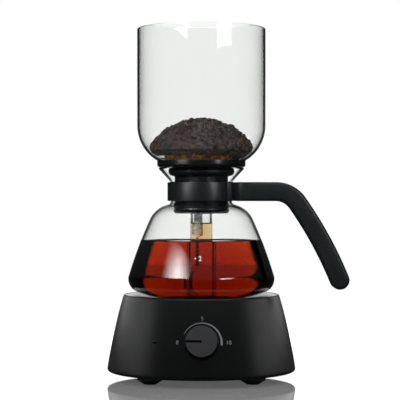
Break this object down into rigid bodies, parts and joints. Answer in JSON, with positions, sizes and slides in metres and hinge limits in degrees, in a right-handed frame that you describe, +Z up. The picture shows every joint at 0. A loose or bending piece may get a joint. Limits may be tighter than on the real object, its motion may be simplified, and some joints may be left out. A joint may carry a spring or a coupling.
{
  "type": "siphon coffee maker",
  "caption": "Electric siphon coffee maker: glass flask with collar and handle on a conical heater base with a dial, and a glass upper bowl with stem, rubber seal and cloth filter.",
  "frame": {"origin": "on the table plane under the feet, on the axis of the flask and upper bowl", "axes": "+Z up along the axis of the vessels, +X towards the handle, -Y towards the front with the dial"},
  "size_m": [0.1857, 0.152, 0.2687],
  "materials": {
    "housing_plastic": "fine moulded texture, black",
    "cover_plastic": "plain moulded, black",
    "gland_plastic": "plain moulded, black",
    "satin_steel": "satin pressed steel",
    "hot_plate_coating": "dark heat-proof coating on steel",
    "element_steel": "drawn tube, heat tinted",
    "pressed_steel": "plain pressed sheet",
    "screw_steel": "zinc plated",
    "thermostat_body": "moulded heat-proof resin",
    "board_laminate": "green solder mask",
    "component_cases": "moulded cases",
    "sink_aluminium": "extruded",
    "terminal_nylon": "natural nylon",
    "red_sleeving": "silicone sleeving",
    "grey_sleeving": "silicone sleeving",
    "control_case": "moulded case with plated bushing",
    "foot_rubber": "moulded, matt",
    "clear_plastic": "clear moulding",
    "knob_finish": "dark grey, turned grain on the face",
    "plated_steel": "bright plated",
    "vessel_glass": "clear borosilicate, fire polished",
    "coffee": "clear red-brown liquid",
    "liner_plastic": "thin sheet",
    "band_finish": "black stove enamel on steel",
    "handle_resin": "moulded heat-proof resin, black",
    "seal_rubber": "smooth silicone rubber, black",
    "filter_steel": "perforated sheet",
    "filter_fabric": "cotton flannel stained by coffee",
    "spring_steel": "bright stainless wire",
    "ground_coffee": "dark roast, medium grind"
  },
  "bodies": {
    "base": {"base_housing": "housing_plastic", "top_plate": "satin_steel", "hot_plate": "hot_plate_coating", "heating_element": "element_steel", "heater_cradle": "pressed_steel", "cradle_screws": "screw_steel", "thermostat": "thermostat_body", "control_board": "board_laminate", "board_components": "component_cases", "heat_sink": "sink_aluminium", "board_screws": "screw_steel", "terminal_block": "terminal_nylon", "heater_leads": "red_sleeving", "mains_leads": "grey_sleeving", "rotary_control": "control_case", "control_washer": "screw_steel", "control_nut": "screw_steel", "bottom_cover": "cover_plastic", "cover_screws": "screw_steel", "rubber_feet": "foot_rubber", "indicator_lens": "clear_plastic", "indicator_led": "clear_plastic", "cord_gland": "gland_plastic"},
    "knob": {"control_knob": "knob_finish", "control_shaft": "plated_steel"},
    "flask": {"flask": "vessel_glass", "brewed_coffee": "coffee", "collar_liner": "liner_plastic", "collar_band": "band_finish", "handle": "handle_resin", "clamp_screw": "plated_steel"},
    "chamber": {"upper_bowl": "vessel_glass", "neck_seal": "seal_rubber", "filter_disc": "filter_steel", "filter_cloth": "filter_fabric", "filter_spring": "spring_steel", "coffee_grounds": "ground_coffee", "stem_coffee": "coffee"},
    "hook": {"bead_chain": "spring_steel", "chain_hook": "spring_steel"}
  },
  "joints": [
    {"name": "knob_turn", "type": "hinge", "parent": "base", "child": "knob", "pos_m": [0, -0.0676, 0.0335], "axis": [0, -0.9779, 0.2089], "range_deg": [-180, 0]},
    {"name": "flask_lift", "type": "slide", "parent": "base", "child": "flask", "axis": [0, 0, 1], "range_m": [0, 0.05]},
    {"name": "chamber_lift", "type": "slide", "parent": "flask", "child": "chamber", "axis": [0, 0, 1], "range_m": [0, 0.11]},
    {"name": "hook_pull", "type": "slide", "parent": "chamber", "child": "hook", "axis": [0, 0, -1], "range_m": [0, 0.005], "stiffness_N_per_m": 80, "springref_m": -0.02, "deforming": ["filter_spring"]}
  ]
}
